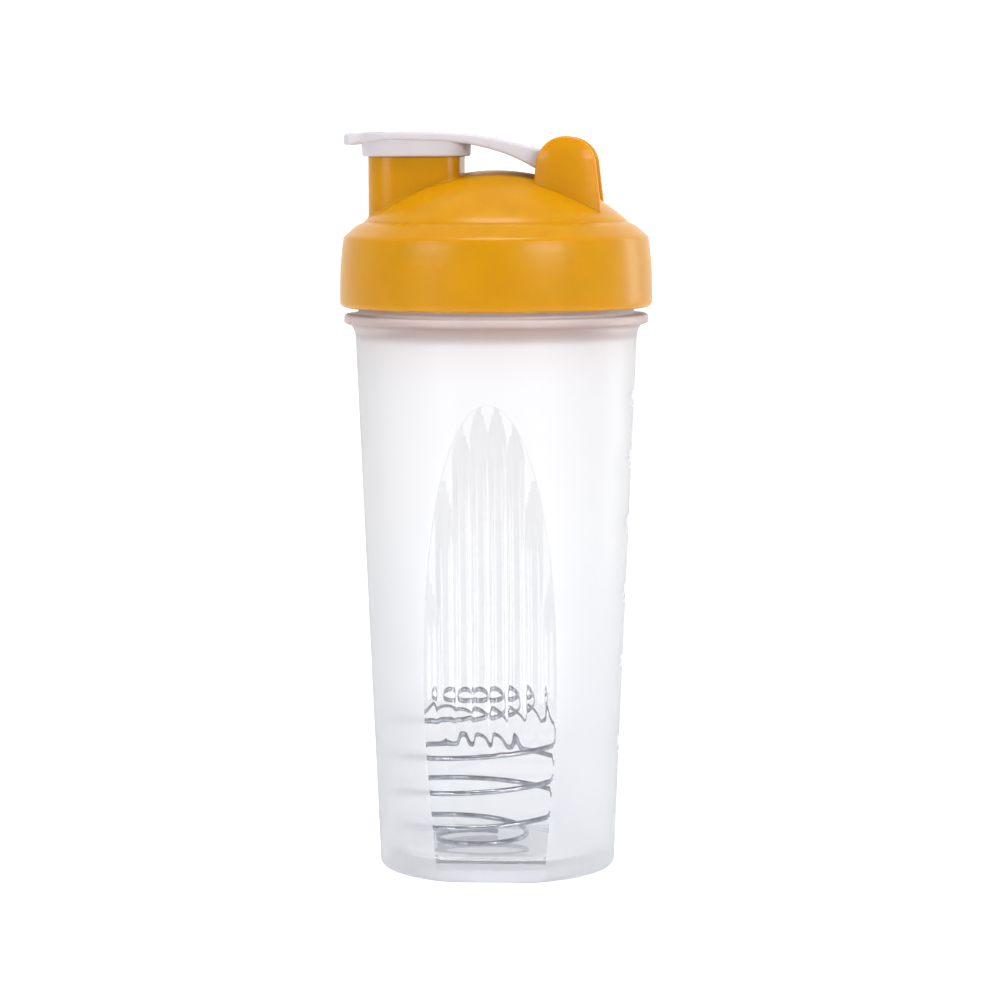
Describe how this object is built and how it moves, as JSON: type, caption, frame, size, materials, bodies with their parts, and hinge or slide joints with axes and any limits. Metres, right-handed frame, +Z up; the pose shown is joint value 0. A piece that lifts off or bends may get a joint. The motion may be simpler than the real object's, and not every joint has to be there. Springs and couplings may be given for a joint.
{
  "type": "protein shaker bottle",
  "caption": "Tapered frosted drinking shaker with clear side windows, screw lid, covered drinking spout on a hinged flip cap, and a loose wire whisk inside.",
  "frame": {"origin": "middle of the base on the bottle's axis, on the surface it stands on", "axes": "+Z up along the axis, -Y out of the front window, -X towards the spout, +X towards the flip cap's hinge"},
  "size_m": [0.093, 0.093, 0.22],
  "materials": {
    "frosted_plastic": "translucent frosted polypropylene with clear polished windows",
    "orange_plastic": "finely textured orange polypropylene",
    "white_plastic": "smooth satin white polypropylene",
    "silicone": "soft matt silicone",
    "steel_wire": "bright drawn stainless wire"
  },
  "bodies": {
    "cup": {"cup": "frosted_plastic"},
    "lid_carrier": {"lid_gasket": "silicone"},
    "lid": {"lid": "orange_plastic"},
    "flip_cap": {"flip_cap": "white_plastic"},
    "whisk": {"whisk": "steel_wire"}
  },
  "joints": [
    {"name": "lid_lift", "type": "slide", "parent": "cup", "child": "lid_carrier", "axis": [0, 0, 1], "range_m": [0, 0.018]},
    {"name": "lid_turn", "type": "hinge", "parent": "lid_carrier", "child": "lid", "pos_m": [0, 0, 0.185], "axis": [0, 0, 1], "range_deg": [0, 1080]},
    {"name": "flip_cap_hinge", "type": "hinge", "parent": "lid", "child": "flip_cap", "pos_m": [0.0215, 0, 0.2093], "axis": [0, 1, 0], "range_deg": [0, 150]},
    {"name": "whisk_slide", "type": "slide", "parent": "cup", "child": "whisk", "axis": [0, 0, 1], "range_m": [0, 0.12]}
  ],
  "couplings": [
    {"joint": "lid_lift", "follows": "lid_turn", "m_per_rad": 0.00095493}
  ]
}
